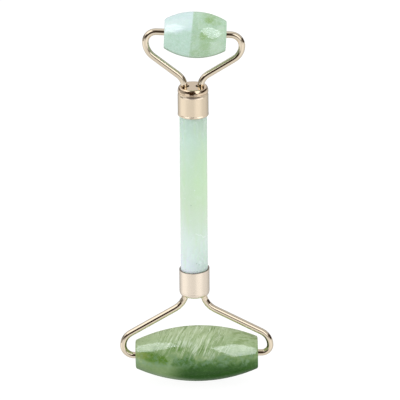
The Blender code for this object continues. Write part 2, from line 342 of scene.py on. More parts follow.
def mint_jade(origin, axis):
    """Small roller's stone: icy mint on the left, leaf green on the right."""
    material, bsdf = new_material("mint_jade")
    (x, y, z), point, rise, depth = roller_mm(origin, axis)
    broad = noise(point, 0.22, detail=3, distort=0.4)
    cloud = noise(point, 0.70, detail=4, rough=0.62, distort=0.8)
    speckle = noise(point, 2.6, detail=4, rough=0.68)
    wavy_x = sway(x, cloud, 2.4)
    wavy_rise = sway(rise, broad, 4.0)
    # left: mint below, icy above, and a painted highlight, a pale leaf where the left softbox's
    # reflection lies
    mint = ramp(cloud, [(0.30, rgb(180, 210, 190)), (0.50, rgb(187, 216, 200)),
                        (0.72, rgb(196, 223, 210))])
    icy = ramp(cloud, [(0.30, rgb(199, 224, 221)), (0.50, rgb(206, 227, 226)),
                       (0.72, rgb(215, 235, 238))])
    left = mix(step(wavy_rise, -0.6, 2.4), mint, icy)
    painted_highlight_leaf = blob(x, mul_add(x, -0.26, rise), (-7.6, 4.6), (6.2, 2.4), soft=0.35)
    left = mix(painted_highlight_leaf * step(x, -6.5, -10.0, to=(0.45, 0.85)), left, rgb(222, 240, 236))
    # right: cooler green with pale and yellow-green patches
    right = ramp(cloud, [(0.28, rgb(166, 196, 166)), (0.50, rgb(174, 203, 176)),
                         (0.74, rgb(186, 213, 190))])
    pale = either(blob(wavy_x, wavy_rise, (7.4, -4.6), (2.6, 2.6)),
                  blob(wavy_x, wavy_rise, (9.0, 0.9), (1.8, 2.2)))
    right = mix(pale * 0.75, right, rgb(192, 216, 191))
    bits = step(noise(vector(x * 0.7, y, z * 0.9), 0.8, detail=3, rough=0.6), 0.52, 0.66)
    right = mix(bits * 0.35, right, rgb(168, 198, 150))
    # leaf-green patches: centre, radii, strength
    leaves = [((5.9, 6.6), (2.7, 2.2), 0.62), ((4.7, 5.0), (1.4, 1.2), 0.95),
              ((7.0, 4.1), (1.8, 0.7), 0.60), ((2.9, -0.7), (1.3, 1.6), 0.95),
              ((4.9, -1.5), (2.8, 0.9), 0.65), ((3.6, -4.2), (1.8, 3.2), 0.62),
              ((0.6, -6.6), (2.6, 1.0), 0.45)]
    leafy = reduce(either, [blob(wavy_x, rise, centre, radii, soft=0.7) * strength
                            for centre, radii, strength in leaves])
    leafy = leafy * step(broad, 0.30, 0.46, to=(0.6, 1.0))
    right = mix(leafy, right, rgb(150, 183, 128))
    # the first patch is a painted highlight: a faint pale glow along the right softbox's
    # reflection; the other two are green patches
    right = paint(right, [
        (x, mul_add(x, 0.26, rise), (5.6, 2.9), (4.2, 1.3), 0.3, 0.20, (204, 226, 200)),
        (x, rise, (4.8, 5.1), (1.5, 1.1), 0.6, 0.70, (142, 176, 112)),
        (x, rise, (3.0, -0.9), (1.3, 1.3), 0.6, 0.50, (148, 182, 120))])
    # nearly straight boundary, leaning a little
    edge = x + mul_add(rise, -0.06, sway(1.45, cloud, 0.9))
    colour = mix(step(edge, -0.25, 0.35), left, right)
    # a dim seam where the two meet, and a paler band to its right, high up
    seam = step(abs(edge - 0.45), 0.55, 0.0)
    colour = mix(seam * step(rise, 4.0, 0.0) * 0.35, colour, rgb(164, 196, 168))
    band = step(edge, 0.2, 2.2) * step(edge, 3.2, 2.0)
    colour = mix(band * step(rise, 2.0, 5.0) * 0.40, colour, rgb(190, 216, 198))
    # thin pale veins, then pale and dark speckle
    veins = step(abs(noise(point, 0.55, detail=4, rough=0.65, distort=1.4) - 0.5), 0.035, 0.0)
    colour = mix(veins * 0.30, colour, rgb(226, 241, 238))
    colour = mix(step(speckle, 0.53, 0.68) * 0.28, colour, rgb(224, 240, 234))
    colour = mix(step(speckle, 0.45, 0.30) * 0.25, colour, rgb(160, 192, 168))
    # painted shade: the underside, as the camera sees it, is darker; it is also duller
    painted_underside_shade = step(depth, -3.0, -1.0) * step(depth, 4.5, 1.0) * step(rise, -2.0, -4.0)
    colour = mix(painted_underside_shade * 0.75, colour, rgb(142, 160, 138))
    finish_jade(bsdf, colour, point, depth_weight=0.25, depth_mm=0.8, rough=0.05,
                shine=mul_add(painted_underside_shade, -0.18, 0.215))
    return material


def sage_jade(origin, axis):
    """Large roller's stone: pale sage above, deep green below, with pale fibres."""
    material, bsdf = new_material("sage_jade")
    (x, _, _), point, rise, depth = roller_mm(origin, axis)
    broad = noise(point, 0.10, detail=3, distort=0.3)
    cloud = noise(point, 0.36, detail=4, rough=0.62, distort=0.9)
    mottle = noise(point, 1.25, detail=5, rough=0.68, distort=0.6)
    wavy_x = sway(x, cloud, 6.0)
    wavy_rise = sway(rise, cloud, 3.4)
    # body colour by height as the camera sees it, lifted at the lower left; the deep green below
    # is partly the stone's own colour and partly painted shade
    level = rise + sway((cloud - 0.5) * 7.5, broad, 5.0)
    low_left = step(sway(x, cloud, 4.0), -3.0, -15.0) * step(rise, 1.5, -3.5)
    level = level + low_left * 3.8
    low, span = -9.0, 17.0
    body = ramp((level - low) / span, placed([
        (-8.0, rgb(34, 74, 16)), (-6.0, rgb(42, 84, 20)), (-4.4, rgb(56, 96, 34)),
        (-2.6, rgb(90, 124, 68)), (-0.7, rgb(121, 149, 98)), (1.1, rgb(138, 163, 114)),
        (3.0, rgb(156, 178, 133)), (5.0, rgb(170, 190, 147)), (8.0, rgb(179, 197, 155))],
        low, span))
    # a paler area at the lower left
    far = sway(sway(mul_add(rise, -0.4, x), broad, 6.0), cloud, 5.0)
    pale = step(far, -0.5, -11.0) * step(rise, -2.0, -4.5)
    body = mix(pale * 0.85, body, ramp(cloud, [(0.3, rgb(120, 148, 96)),
                                               (0.7, rgb(136, 158, 112))]))
    body = paint(body, [
        (wavy_x, mul_add(x, 0.20, rise), (-15.8, -4.4), (4.8, 2.0), 0.45, 0.95, (78, 118, 22)),
        (wavy_x, rise, (-20.4, -0.3), (3.2, 1.2), 0.45, 0.60, (136, 152, 78)),
        (wavy_x, rise, (-7.4, 2.5), (2.8, 1.5), 0.45, 0.75, (98, 134, 62)),
        (wavy_x, wavy_rise, (-6.2, -2.9), (3.4, 1.6), 0.45, 0.75, (62, 104, 38)),
        (wavy_x, wavy_rise, (8.6, 5.4), (1.9, 2.6), 0.45, 0.50, (126, 150, 96)),
        (wavy_x, wavy_rise, (2.6, -0.9), (3.6, 1.1), 0.45, 0.55, (150, 170, 124)),
        (wavy_x, wavy_rise, (-10.6, -1.8), (1.0, 3.0), 0.45, 0.50, (140, 168, 118))])
    # olive bands at the upper right
    bands = noise(vector(x * 0.10, rise * 1.2, depth * 0.5), 1.0, detail=3, rough=0.6)
    bands = step(bands, 0.48, 0.60)
    olive = step(x, 11.0, 15.5) * step(rise, 2.6, 4.4)
    body = mix(bands * olive * 0.70, body, rgb(124, 148, 88))
    # mottling, weaker in the deep green
    deep = step(rise, -4.5, 0.5, to=(0.22, 1.0))
    body = mix(step(mottle, 0.51, 0.66) * deep * 0.34, body, mix(0.5, body, rgb(190, 208, 170)))
    body = mix(step(mottle, 0.48, 0.34) * deep * 0.36, body, mix(0.55, body, rgb(50, 84, 36)))
    # fibres: long pale hairs leaning to the right, with dark hairlines between
    lean = math.radians(62)
    along = x * math.cos(lean) + rise * math.sin(lean)
    across = x * -math.sin(lean) + rise * math.cos(lean)
    bend = mul_add(broad, 2.6, cloud * 0.7)
    stretched = vector(across + bend, along * 0.050, depth * 0.09)
    coarse = noise(stretched, 1.35, detail=3, rough=0.62)
    fine = noise(stretched, 3.1, rough=0.60)
    gap = noise(vector(across * 0.8, along * 0.45, depth * 0.4), 0.55)
    zone = step(rise + x * -0.04, -3.4, 1.6) * step(abs(x + 1.5), 17.0, 9.0)
    zone = zone * step(gap, 0.34, 0.54, to=(0.35, 1.0))
    hair = either(step(coarse, 0.545, 0.635), step(fine, 0.55, 0.64) * 0.70)
    colour = mix(hair * zone * 0.88, body, rgb(206, 220, 190))
    dark = either(step(coarse, 0.445, 0.385), step(fine, 0.44, 0.36) * 0.8)
    colour = mix(dark * zone * 0.66, colour, rgb(98, 130, 66))
    # the brightest knots of fibre
    knots = either(blob(wavy_x, rise, (-4.6, 3.9), (2.6, 1.3)),
                   blob(wavy_x, rise, (-0.9, 1.6), (1.5, 2.2)))
    knots = either(knots, blob(wavy_x, rise, (5.0, -0.4), (1.6, 2.0)) * 0.6)
    colour = mix(knots * step(fine, 0.40, 0.54) * 0.62, colour, rgb(206, 220, 196))
    # cold haze along the belly
    soft = noise(point, 0.50, distort=0.6)
    haze = step(soft, 0.44, 0.64) * (step(rise, 0.8, -1.2) * step(rise, -6.0, -3.2))
    colour = mix(haze * 0.48, colour, rgb(118, 150, 120))
    # a paler rim low on the left, painted light thrown up from below onto the bottom edge, then
    # the underside darkened with painted shade, darkest to the right
    painted_underside_shade = step(depth, -4.2, -1.6) * step(depth, 5.5, 1.5) * step(rise, -3.0, -5.0)
    rim = step(depth, -5.6, -3.0) * step(depth, 6.5, 2.5) * (
        step(rise, -3.0, -5.0) * step(x, 2.0, -6.0, to=(0.10, 0.6)))
    colour = mix(rim, colour, rgb(120, 140, 110))
    colour = mix(painted_underside_shade * step(x, -16.0, 4.0, to=(0.25, 0.65)), colour, rgb(60, 82, 52))
    # fine pale grain
    grain = noise(point, 3.6, detail=4, rough=0.65)
    grain = step(grain, 0.56, 0.70) * step(rise, -5.0, 1.0, to=(0.02, 0.20))
    colour = mix(grain, colour, mix(0.6, colour, rgb(214, 226, 204)))
    finish_jade(bsdf, colour, point, depth_weight=0.10, depth_mm=0.4, rough=0.06,
                shine=mul_add(painted_underside_shade, -0.24, 0.30))
    return material


def gold(name, tint, rough, scratch, brush=(1, 1, 1), edges=None, painted_crescent_z=None):
    """Champagne gold.

    brush stretches the fine grain: a small number draws it out along that axis.
    edges holds the mouth's height, the mouth's tilt and the cap's end height.
    The last argument is the height of a painted dark band: shade and dark reflection in the
    crease under the collar.
    """
    material, bsdf = new_material(name)
    x, y, z, point = local_mm()
    tone = noise(point, 0.22, detail=3)
    stain = step(noise(point, 0.9, detail=4, rough=0.65), 0.52, 0.80)
    darker = tuple(part * 0.965 for part in tint) + (1.0,)
    lighter = (min(1, tint[0] * 1.02), min(1, tint[1] * 1.015), min(1, tint[2] * 1.03), 1.0)
    stained = (tint[0] * 0.80, tint[1] * 0.76, tint[2] * 0.66, 1.0)
    colour = mix(tone, darker, lighter)
    colour = mix(stain * 0.12, colour, stained)
    if edges:
        mouth_z, tilt, end_z = edges
        # painted shade along the end cap's rounded bottom edge, where it turns away from the
        # light
        lip = step(z, end_z + 0.32, end_z + 0.10) * 0.60
        colour = mix(lip, colour, rgb(120, 110, 98))
        # painted shade: the tube's cut edge darkened into a thin line, standing in for the
        # shadow in the gap between stone and tube
        above = z + mul_add(x, -tilt, -mouth_z)
        painted_mouth_shade = step(above, -0.22, -0.10) * mul_add(tone, 0.5, 0.45)
        colour = mix(painted_mouth_shade, colour, rgb(92, 86, 78))
    if painted_crescent_z:
        # painted shade and dark reflection lying in the crease under the collar, thickest across
        # the front and the back
        near = step(abs(z - painted_crescent_z), 0.42, 0.14)
        across = step(abs(x - 0.2), 4.4, 1.4, to=(0.12, 1.0))
        colour = mix(near * across * 0.88, colour, rgb(78, 56, 40))
    smear = noise(point, 0.6, detail=3, rough=0.6)
    brushed = vector(x * brush[0], y * brush[1], z * brush[2])
    fine = noise(brushed, 7.0, detail=3, rough=0.6)
    height = fine * 0.7 + noise(point, 0.7) * 2.0
    set_inputs(bsdf, {
        "Base Color": colour,
        "Metallic": 1.0,
        "Roughness": mul_add(fine, 0.05, mul_add(smear, 0.07, rough - 0.06)),
        "Normal": bump(height, strength=scratch, distance=0.00003)})
    return material


# bush rings of dark nylon; their darkness is partly painted shade, standing in for the shadow
# where a pin enters a stone's bore
def dark_nylon():
    material, bsdf = new_material("dark_nylon")
    *_, point = local_mm()
    mottle = noise(point, 2.5, detail=4, rough=0.6)
    set_inputs(bsdf, {
        "Base Color": mix(mottle, rgb(38, 34, 30), rgb(70, 62, 52)),
        "Roughness": mul_add(mottle, 0.2, 0.35),
        "Normal": bump(noise(point, 12.0), strength=0.15, distance=0.00004)})
    return material


def cured_adhesive():
    material, bsdf = new_material("cured_adhesive")
    *_, point = local_mm()
    cloud = noise(point, 0.9, detail=4, rough=0.6, distort=0.5)
    spots = step(cells(point, 2.2), 0.16, 0.05)
    colour = mix(cloud, rgb(206, 196, 164), rgb(228, 220, 196))
    set_inputs(bsdf, {
        "Base Color": mix(spots * 0.4, colour, rgb(240, 236, 220)),
        "Roughness": mul_add(cloud, 0.15, 0.3),
        "Normal": bump(cloud + spots * 0.5, strength=0.3, distance=0.0001)})
    return material


# =====================================================================
# mesh helpers
# =====================================================================
def link_object(name, mesh):
    made = bpy.data.objects.new(name, mesh)
    bpy.context.scene.collection.objects.link(made)
    return made


def shade(mesh, sharp):
    """Smooth shading, with edges sharper than the angle in degrees kept crisp."""
    mesh.shade_smooth()
    mesh.set_sharp_from_angle(angle=math.radians(sharp))


def make(name, verts, faces, material, sharp=35.0):
    """Object from points in metres."""
    mesh = bpy.data.meshes.new(name)
    mesh.from_pydata([tuple(point) for point in verts], [], faces)
    mesh.validate()
    bm = bmesh.new()
    bm.from_mesh(mesh)
    bmesh.ops.remove_doubles(bm, verts=bm.verts, dist=1e-8)
    bmesh.ops.recalc_face_normals(bm, faces=bm.faces)
    bm.to_mesh(mesh)
    bm.free()
    mesh.materials.append(material)
    shade(mesh, sharp)
    return link_object(name, mesh)


def register(made, body, cad_node):
    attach(made, body)
    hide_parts(cad_node)


def revolve(profile, sides, wobble=None):
    """Points in mm and faces of a (radius, height) profile turned about +Z.

    A profile that starts on the axis also ends there; any other is closed into a ring.
    """
    verts, faces, rows = [], [], []
    for radius, height in profile:
        if radius < 1e-9:
            rows.append([len(verts)])
            verts.append((0.0, 0.0, height))
            continue
        row = []
        for k in range(sides):
            angle = TAU * k / sides
            reach = radius * (1.0 + (wobble(angle, height, radius) if wobble else 0.0))
            row.append(len(verts))
            verts.append((reach * math.cos(angle), reach * math.sin(angle), height))
        rows.append(row)
    pairs = list(zip(rows, rows[1:]))
    if len(rows[0]) > 1:
        pairs.append((rows[-1], rows[0]))
    for first, second in pairs:
        for k in range(sides):
            j = (k + 1) % sides
            if len(first) == 1:
                faces.append((first[0], second[j], second[k]))
            elif len(second) == 1:
                faces.append((first[k], first[j], second[0]))
            else:
                faces.append((first[k], first[j], second[j], second[k]))
    return np.array(verts, float), faces


def arc(centre_r, centre_h, radius, start, end, steps):
    """Points of an arc between two angles in degrees."""
    angles = [math.radians(start + (end - start) * i / steps) for i in range(steps + 1)]
    return [(centre_r + radius * math.cos(a), centre_h + radius * math.sin(a)) for a in angles]


def spread(points, gap):
    """Extra points along the straight runs of a profile that are longer than gap."""
    out = [points[0]]
    for a, b in zip(points, points[1:]):
        count = max(1, int(math.ceil(math.hypot(b[0] - a[0], b[1] - a[1]) / gap)))
        for i in range(1, count + 1):
            out.append((a[0] + (b[0] - a[0]) * i / count, a[1] + (b[1] - a[1]) * i / count))
    return out


# =====================================================================
# handle
# =====================================================================
def handle_wobble(angle, height, _radius):
    return (0.0016 * math.sin(2 * angle + 0.09 * height + 0.6) * math.sin(0.11 * height + 1.1)
            + 0.0009 * math.sin(3 * angle - 0.17 * height)
            + 0.0005 * math.sin(5 * angle + 0.31 * height)) - 0.0010


def build_handle():
    low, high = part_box("handle")
    radius, bottom, top = high.x / MM, low.z / MM, high.z / MM
    edge = 0.4             # rounding of the two ends
    flat_r = radius - 0.5  # radius of the flat ends
    profile = [(0.0, top), (flat_r, top)]
    profile += arc(radius - edge, top - edge, edge, 88, 0, 5)
    profile += [(radius, bottom + edge)]
    profile += arc(radius - edge, bottom + edge, edge, -2, -88, 5)
    profile += [(flat_r, bottom), (0.0, bottom)]
    points, faces = revolve(spread(profile, 0.9), 112, handle_wobble)
    made = make("handle_polished_stone", points * MM, faces, pale_jade())
    register(made, "frame", "handle")


build_handle()

# =====================================================================
# ferrules; outward is the Z direction away from the handle's middle
# =====================================================================
LENGTHWISE = (1, 1, 0.12)      # grain drawn out along the tube
GOLD_UPPER = gold("champagne_gold_tube", tint=(0.90, 0.76, 0.57), rough=0.15, scratch=0.02,
                  brush=LENGTHWISE, painted_crescent_z=PAINTED_CRESCENT_Z)
# the lower tube is the same gold as the upper one; its paler, brighter tint is painted light on
# the lower tube and its cap
GOLD_LOWER = gold("champagne_gold_tube_painted_lit", tint=(0.99, 0.868, 0.72), rough=0.20,
                  scratch=0.015, brush=LENGTHWISE, edges=(-27.0, MOUTH_TILT, -38.9))
GOLD_CAP = gold("champagne_gold_cap", tint=(0.97, 0.78, 0.57), rough=0.12, scratch=0.05)
GOLD_WIRE = gold("champagne_gold_wire", tint=(0.90, 0.782, 0.605), rough=0.06, scratch=0.03)


def ferrule_tube(name, cad_node, outward, lip, flare, tilt, collar, material):
    """Tube from its mouth, which faces the handle's middle, to the cap.

    lip is the mouth's rounding, flare its extra radius, tilt the slope of its plane,
    and collar how far the tube narrows under the cap.
    """
    low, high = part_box(cad_node)
    bottom, top = (low.z / MM, high.z / MM)
    length = top - bottom
    mouth_z = bottom if outward > 0 else top
    # radius, distance from the mouth
    outline = [(TUBE_BORE, 0.0), (TUBE_BORE + 0.02, 0.0)]
    outline += arc(FERRULE_R + flare - lip, lip, lip, -90, 0, 7)
    if flare:
        for i in range(1, 7):
            k = i / 6
            outline.append((FERRULE_R + flare * (0.5 + 0.5 * math.cos(math.pi * k)),
                            lip + 0.75 * k))
    if collar:
        # eased in by the collar's step, then upright to a rounded edge
        length -= UPPER_SKIRT - LOWER_SKIRT
        ease, upright, edge = 0.80, 0.52, 0.09
        start = length - upright - ease
        for i in range(13):
            k = i / 12
            outline.append((FERRULE_R - collar * (0.5 - 0.5 * math.cos(math.pi * k)),
                            start + ease * k))
        outline += arc(FERRULE_R - collar - edge, length - edge, edge, 0, 85, 5)
    else:
        length += 0.117                  # closes the seam with the cap
        outline += [(FERRULE_R, length)]
    outline = spread(outline + [(TUBE_BORE, length)], 0.7)
    points, faces = revolve([(r, mouth_z + outward * h) for r, h in outline], 144)
    if tilt:
        from_mouth = (points[:, 2] - mouth_z) * outward
        fade = np.clip(1.0 - from_mouth / 6.0, 0.0, 1.0) ** 2
        points[:, 2] += points[:, 0] * tilt * fade
    register(make(name, points * MM, faces, material, 40), "frame", cad_node)


ferrule_tube("upper_ferrule_tube", "upper_ferrule_sleeve", outward=1, lip=0.20, flare=0.06,
             tilt=0.0, collar=0.10, material=GOLD_UPPER)
ferrule_tube("lower_ferrule_tube", "lower_ferrule_sleeve", outward=-1, lip=0.07, flare=0.0,
             tilt=MOUTH_TILT, collar=0.0, material=GOLD_LOWER)


def hole_cutter(x, z, outward, radius=1.57, chamfer=0.06):
    """A drill with a countersink, its mouth at z."""
    profile = [(0.0, z + outward * 0.8), (radius + chamfer + 0.8, z + outward * 0.8),
               (radius + chamfer, z), (radius, z - outward * chamfer),
               (radius, z - outward * 4.0), (0.0, z - outward * 4.0)]
    points, faces = revolve(profile, 72)
    points[:, 0] += x
    return make("cutter", points * MM, faces, GOLD_CAP)


def cut_wire_holes(cap, end_z, outward, arms):
    """One hole per arm, cut with booleans that are then applied."""
    cutters = []
    for arm in arms:
        low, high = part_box(arm)
        side = 1.0 if (low.x + high.x) > 0 else -1.0
        # the wire's tail is the arm's innermost part, and the hole sits a little inside it
        inner = (low.x if side > 0 else high.x) / MM
        cutter = hole_cutter(inner + side * WIRE_R - side * 0.20, end_z, outward)
        cutters.append(cutter)
        hole = cap.modifiers.new("hole", "BOOLEAN")
        hole.operation, hole.solver, hole.object = "DIFFERENCE", "EXACT", cutter
    bpy.context.view_layer.update()
    depsgraph = bpy.context.evaluated_depsgraph_get()
    mesh = bpy.data.meshes.new_from_object(cap.evaluated_get(depsgraph), depsgraph=depsgraph)
    cap.modifiers.clear()
    cap.data = mesh
    for cutter in cutters:
        bpy.data.objects.remove(cutter)


def end_cap(name, cad_node, outward, skirt, bevel, arms, material):
    low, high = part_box(cad_node)
    end_z = (high.z if outward > 0 else low.z) / MM
    depth = (high.z - low.z) / MM
    plug_r = 5.0                         # the part that fills the tube
    # elliptical shoulder, cut off a little before it would stand upright
    drop = skirt + 0.12
    last_angle = math.asin(1 - skirt / drop)
    outline = [(0.0, 0.0)]
    for i in range(19):
        angle = math.pi / 2 + (last_angle - math.pi / 2) * i / 18
        outline.append((FERRULE_R - SHOULDER + SHOULDER * math.cos(angle),
                        -drop * (1 - math.sin(angle))))
    rim = outline.pop()[0]
    outline += [(rim, -(skirt - bevel)), (rim - 0.3 * bevel, -(skirt - 0.3 * bevel)),
                (rim - bevel, -skirt), (plug_r, -skirt), (plug_r, -(depth - 0.15)),
                (plug_r - 0.15, -depth), (0.0, -depth)]
    points, faces = revolve([(r, end_z + outward * h) for r, h in spread(outline, 0.8)], 144)
    cap = make(name, points * MM, faces, material, 40)
    cut_wire_holes(cap, end_z, outward, arms)
    shade(cap.data, 30)
    register(cap, "frame", cad_node)


end_cap("upper_ferrule_end", "upper_ferrule_cap", outward=1, skirt=UPPER_SKIRT, bevel=0.07,
        arms=("small_fork_left_arm", "small_fork_right_arm"), material=GOLD_CAP)
end_cap("lower_ferrule_end", "lower_ferrule_cap", outward=-1, skirt=LOWER_SKIRT, bevel=0.004,
        arms=("large_fork_left_arm", "large_fork_right_arm"), material=GOLD_LOWER)


# =====================================================================
# wire arms
# =====================================================================
def centre_line(cad_node):
    """Centre line (x, z) and radius of an arm, in mm.

    It is read from the CAD points furthest back, which lie straight behind the line.
    """
    cad = np.array([vert.co for vert in NODES[cad_node].data.vertices], float) / MM
    radius = cad[:, 1].max()
    spots = []
    for spot in cad[cad[:, 1] > radius - 0.02][:, (0, 2)]:
        if all(math.hypot(*(spot - seen)) > 0.05 for seen in spots):
            spots.append(spot)

    def take(distance):
        return spots.pop(min(range(len(spots)), key=lambda i: distance(spots[i])))

    # from the tail's end, nearest the handle's middle, on to the nearest point each time
    line = [take(lambda spot: abs(spot[1]))]
    while spots:
        line.append(take(lambda spot: math.hypot(*(spot - line[-1]))))
    return line, radius


def smooth_line(points, gap):
    """Catmull-Rom through the points, with straight runs first split to about 1 mm."""
    split = []
    for a, b in zip(points, points[1:]):
        count = max(1, int(round(math.hypot(b[0] - a[0], b[1] - a[1]))))
        for i in range(count):
            split.append((a[0] + (b[0] - a[0]) * i / count, a[1] + (b[1] - a[1]) * i / count))
    split.append(tuple(points[-1]))
    knots = np.array(split)
    out = []
    for i in range(len(knots) - 1):
        before, start, end = knots[max(i - 1, 0)], knots[i], knots[i + 1]
        after = knots[min(i + 2, len(knots) - 1)]
        count = max(1, int(math.ceil(math.hypot(*(end - start)) / gap)))
        for k in range(count):
            t = k / count
            out.append(0.5 * ((2 * start) + (-before + end) * t
                              + (2 * before - 5 * start + 4 * end - after) * t * t
                              + (-before + 3 * start - 3 * end + after) * t ** 3))
    out.append(knots[-1])
    return np.array(out)


# rounding of a wire's ends, outermost first: radius lost, distance beyond the line's end
WIRE_END = ((0.25, 0.25), (0.12, 0.18), (0.03, 0.07))


def wire(name, cad_node):
    spots, radius = centre_line(cad_node)
    line = smooth_line(spots, 0.34)
    count, sides = len(line), 40
    tangents = np.gradient(line, axis=0)
    tangents /= np.linalg.norm(tangents, axis=1)[:, None]
    # a bent wire is a touch flattened round its bends
    turn = np.abs(np.gradient(np.unwrap(np.arctan2(tangents[:, 1], tangents[:, 0]))))
    turn = np.convolve(turn, np.ones(9) / 9, "same")
    # index on the line, ring radius, distance moved along the tangent
    stations = [(0, radius - lost, -beyond) for lost, beyond in WIRE_END]
    stations += [(i, radius, 0.0) for i in range(count)]
    stations += [(count - 1, radius - lost, beyond) for lost, beyond in reversed(WIRE_END)]
    verts, faces, rings = [], [], []
    for i, ring_r, shift in stations:
        tangent = tangents[i]
        centre = line[i] + tangent * shift
        normal = np.array([-tangent[1], tangent[0]])
        flat = 1.0 - min(0.02, 0.25 * turn[i])
        ring = []
        for k in range(sides):
            angle = TAU * k / sides
            x, z = centre + normal * (math.cos(angle) * ring_r * flat)
            ring.append(len(verts))
            verts.append((x, math.sin(angle) * ring_r, z))
        rings.append(ring)
    for first, second in zip(rings, rings[1:]):
        for k in range(sides):
            j = (k + 1) % sides
            faces.append((first[k], first[j], second[j], second[k]))
    for ring, is_last in ((rings[0], False), (rings[-1], True)):
        middle = len(verts)
        verts.append(tuple(np.mean([verts[i] for i in ring], axis=0)))
        for k in range(sides):
            j = (k + 1) % sides
            faces.append((ring[k], ring[j], middle) if is_last else (ring[j], ring[k], middle))
    made = make(name, np.array(verts) * MM, faces, GOLD_WIRE)
    register(made, "frame", cad_node)


for fork in ("small_fork_left", "small_fork_right", "large_fork_left", "large_fork_right"):
    wire(f"{fork}_wire", f"{fork}_arm")


# =====================================================================
# rollers and bushes
# =====================================================================
def roller_axis(body):
    joint = JOINTS[body]
    return Vector(joint["pos_m"]), Vector(joint["axis"]).normalized()


def to_roller(points, origin, axis):
    """Points in mm turned about +Z, laid along a roller's axis, in metres."""
    x_axis = np.array(axis)
    y_axis = np.array((0.0, 1.0, 0.0))
    z_axis = np.cross(x_axis, y_axis)
    turned = points[:, 2:3] * x_axis + points[:, 0:1] * y_axis + points[:, 1:2] * z_axis
    return turned * MM + np.array(origin)


def cad_extent(cad_node, origin, axis):
    """Least and greatest place along the axis, then least and greatest radius, in mm."""
    cad = np.array([vert.co for vert in NODES[cad_node].data.vertices], float)
    offset = (cad - np.array(origin)) / MM
    along = offset @ np.array(axis)
    radii = np.linalg.norm(offset - along[:, None] * np.array(axis), axis=1)
    return along.min(), along.max(), radii.min(), radii.max()


def stone_wobble(lobes):
    """Unevenness that fades out at the bore; lobes are count, depth, twist, phase."""
    def wobble(angle, height, radius):
        fade = min(1.0, max(0.0, (radius - 3.0) / 3.0))
        return fade * (-0.0008 + sum(depth * math.sin(count * angle + twist * height + phase)
                                     for count, depth, twist, phase in lobes))
    return wobble


def barrel(prefix, side_r, apex, edge, material, lobes):
    """Bored barrel.

    side_r is the radius of its side's arc, apex how far the widest place lies off the
    middle, and edge the rounding of its ends.
    """
    origin, axis = roller_axis(prefix)
    start, end, bore, radius = cad_extent(f"{prefix}_stone", origin, axis)
    half = (end - start) / 2
    base = radius - side_r
    bore_edge = 0.25
    halves = []
    for sign in (-1.0, 1.0):
        span = half - sign * apex
        edge_r = base + math.sqrt((side_r - edge) ** 2 - (span - edge) ** 2)
        lean = math.degrees(math.asin((span - edge) / (side_r - edge)))
        run = arc(base, 0.0, side_r, 0, lean, 56)
        run += arc(edge_r, span - edge, edge, lean, 90, 10)[1:]
        run += spread([(edge_r, span), (bore + bore_edge, span)], 0.6)[1:]
        run += arc(bore + bore_edge, span - bore_edge, bore_edge, 90, 180, 4)[1:]
        run += spread([(bore, span - bore_edge), (bore, -sign * apex + 0.3)], 1.5)[1:]
        halves.append([(r, apex + sign * h) for r, h in run])
    profile = list(reversed(halves[0][1:])) + halves[1]
    points, faces = revolve(profile, 160, stone_wobble(lobes))
    made = make(f"{prefix}_polished_stone", to_roller(points, origin, axis), faces, material, 50)
    register(made, prefix, f"{prefix}_stone")


MINT = mint_jade(*roller_axis("small_roller"))
SAGE = sage_jade(*roller_axis("large_roller"))
barrel("small_roller", side_r=22.0, apex=0.12, edge=0.7, material=MINT,
       lobes=((2, 0.0012, 0.25, 0.0), (3, 0.0008, -0.4, 1.0)))
barrel("large_roller", side_r=56.0, apex=0.78, edge=0.9, material=SAGE,
       lobes=((2, 0.0010, 0.12, 0.5), (3, 0.0007, -0.21, 0.0)))

NYLON = dark_nylon()
ADHESIVE = cured_adhesive()


def bush(body, side, sign):
    """Ring at one end of a roller's bore; sign is its direction along the axis."""
    cad_node = f"{body}_{side}_bush"
    origin, axis = roller_axis(body)
    start, end, bore, radius = cad_extent(cad_node, origin, axis)
    outer = end if sign > 0 else start
    length = end - start
    # radius, height from the outer face
    outline = [(bore + 0.12, 0.0)] + arc(radius - 0.1, -0.1, 0.1, 90, 0, 5)
    outline += [(radius, -(length - 0.15)), (radius - 0.15, -length),
                (bore, -length), (bore, -0.12), (bore + 0.03, -0.05)]
    points, faces = revolve([(r, outer + sign * h) for r, h in outline], 64)
    made = make(f"{cad_node}_ring", to_roller(points, origin, axis), faces, NYLON)
    register(made, body, cad_node)


for roller in ("small_roller", "large_roller"):
    bush(roller, "left", -1.0)
    bush(roller, "right", 1.0)

# the adhesive plugs are inside the ferrules and keep their CAD shape
for plug in ("upper_adhesive_plug", "lower_adhesive_plug"):
    NODES[plug].data.materials.clear()
    NODES[plug].data.materials.append(ADHESIVE)

# =====================================================================
# floor
# =====================================================================
scene = bpy.context.scene
scene.view_settings.view_transform = "Standard"
scene.view_settings.look = "None"


def build_floor():
    half = 5.0                                # metres
    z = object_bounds()[0].z - 0.0004
    mesh = bpy.data.meshes.new("floor")
    mesh.from_pydata([(-half, -half, z), (half, -half, z), (half, half, z), (-half, half, z)],
                     [], [(0, 1, 2, 3)])
    floor = link_object("floor", mesh)
    material, bsdf = new_material("pale_floor")
    place = vector_calc("MULTIPLY", node("TexCoord", output="Object"), (30.0, 30.0, 30.0))
    set_inputs(bsdf, {
        "Base Color": mix(noise(place, 1.0, detail=3), (*grey(0.12), 1), (*grey(0.14), 1)),
        "Roughness": 0.9,
        "Specular IOR Level": 0.0,
        "Emission Color": (1, 1, 1, 1),
        "Emission Strength": 0.93})
    mesh.materials.append(material)
    floor.visible_glossy = False
    floor.visible_diffuse = False


build_floor()

# =====================================================================
# studio light; azimuth is 0 towards the front (-Y) and positive to the right (+X)
# =====================================================================
METAL_LIGHT = 1.30       # what the world shows where the softboxes are
STONE_LIGHT = 9.0        # what the softboxes add to the stones' reflections
